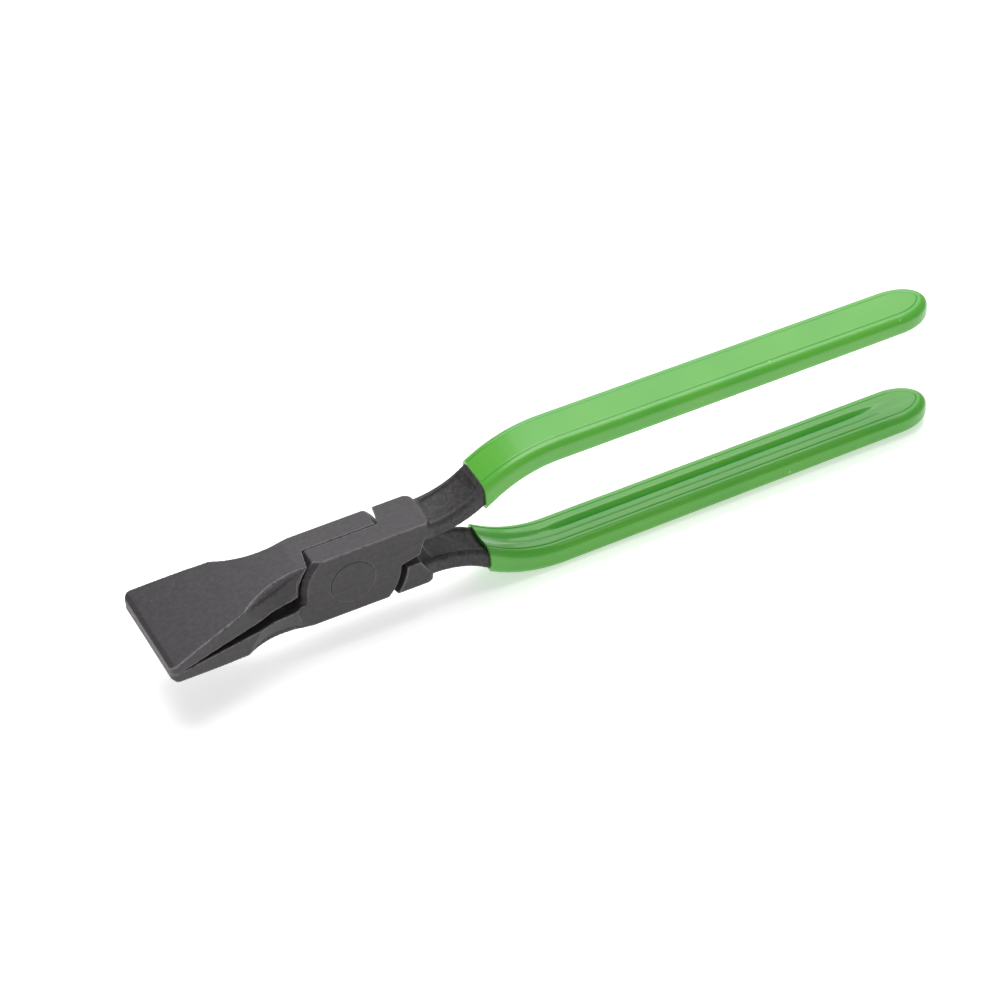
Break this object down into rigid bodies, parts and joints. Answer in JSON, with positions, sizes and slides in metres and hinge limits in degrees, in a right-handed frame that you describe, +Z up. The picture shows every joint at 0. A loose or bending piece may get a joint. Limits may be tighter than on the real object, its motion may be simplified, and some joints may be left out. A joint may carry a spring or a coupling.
{
  "type": "flat jaw pliers",
  "caption": "Long-handled pliers with wide flat jaws, a lap joint with a flush rivet, and green dipped handle sleeves.",
  "frame": {"origin": "middle of the underside of the object's box, under the lower handle's sleeve", "axes": "+X from the jaws to the handle ends, +Y along the rivet, +Z up from the lower handle to the upper handle"},
  "size_m": [0.28, 0.04, 0.0526],
  "materials": {
    "forged_steel": "dark forged steel, ground on the working faces, thinly oiled",
    "rivet_steel": "dark steel, ground flush with the cheeks",
    "green_dip": "glossy dipped soft PVC"
  },
  "bodies": {
    "upper_jaw_lever": {"lever_upper_jaw": "forged_steel", "pivot_rivet": "rivet_steel", "lower_handle_sleeve": "green_dip"},
    "lower_jaw_lever": {"lever_lower_jaw": "forged_steel", "upper_handle_sleeve": "green_dip"}
  },
  "joints": [
    {"name": "jaw_pivot", "type": "hinge", "parent": "upper_jaw_lever", "child": "lower_jaw_lever", "pos_m": [-0.0728, 0, 0.0263], "axis": [0, -1, 0], "range_deg": [0, 20]}
  ]
}
